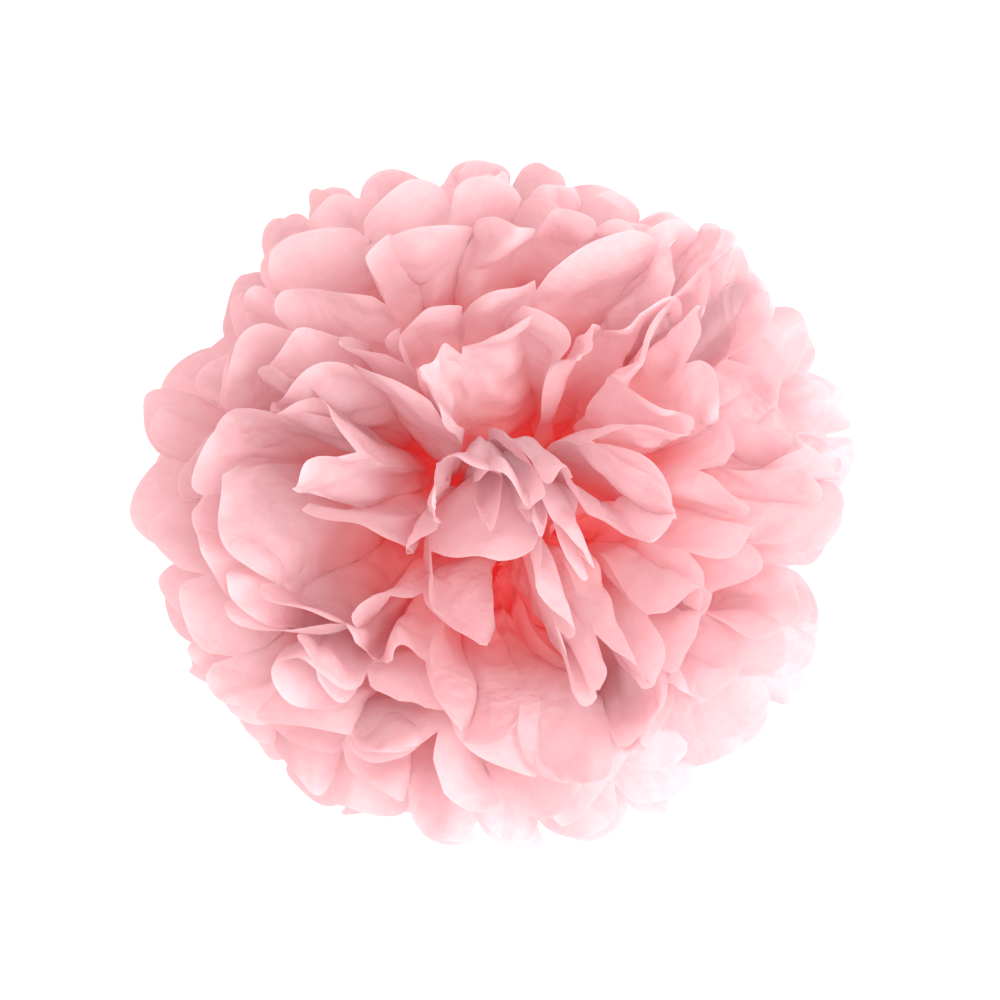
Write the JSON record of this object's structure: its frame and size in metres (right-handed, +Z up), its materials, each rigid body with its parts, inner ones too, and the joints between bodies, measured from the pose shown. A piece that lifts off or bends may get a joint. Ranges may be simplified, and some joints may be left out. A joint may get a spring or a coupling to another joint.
{
  "type": "tissue paper pom pom",
  "caption": "Ball-shaped tissue paper flower: pleated sheets tied at the waist with wire and fanned out into ruffled, round-ended petals.",
  "frame": {"origin": "centre of the box around the ball, at the surface that it rests on", "axes": "+Z up along the pole that the petals open round; Y is the way the folded sheets lay before they were fanned out; X is along the slit between the two half fans"},
  "size_m": [0.2466, 0.251, 0.2223],
  "materials": {
    "tissue": "thin, translucent pale pink tissue paper, matt with a faint sheen on the creases",
    "wire": "bare soft steel wire, bright drawn"
  },
  "bodies": {
    "root": {"tissue_sheet_01": "tissue", "tissue_sheet_02": "tissue", "tissue_sheet_03": "tissue", "tissue_sheet_04": "tissue", "tissue_sheet_05": "tissue", "tissue_sheet_06": "tissue", "tissue_sheet_07": "tissue", "tissue_sheet_08": "tissue", "tissue_sheet_09": "tissue", "tissue_sheet_10": "tissue", "tissue_sheet_11": "tissue", "tissue_sheet_12": "tissue", "tissue_sheet_13": "tissue", "tissue_sheet_14": "tissue", "tie_wire": "wire"}
  },
  "joints": []
}
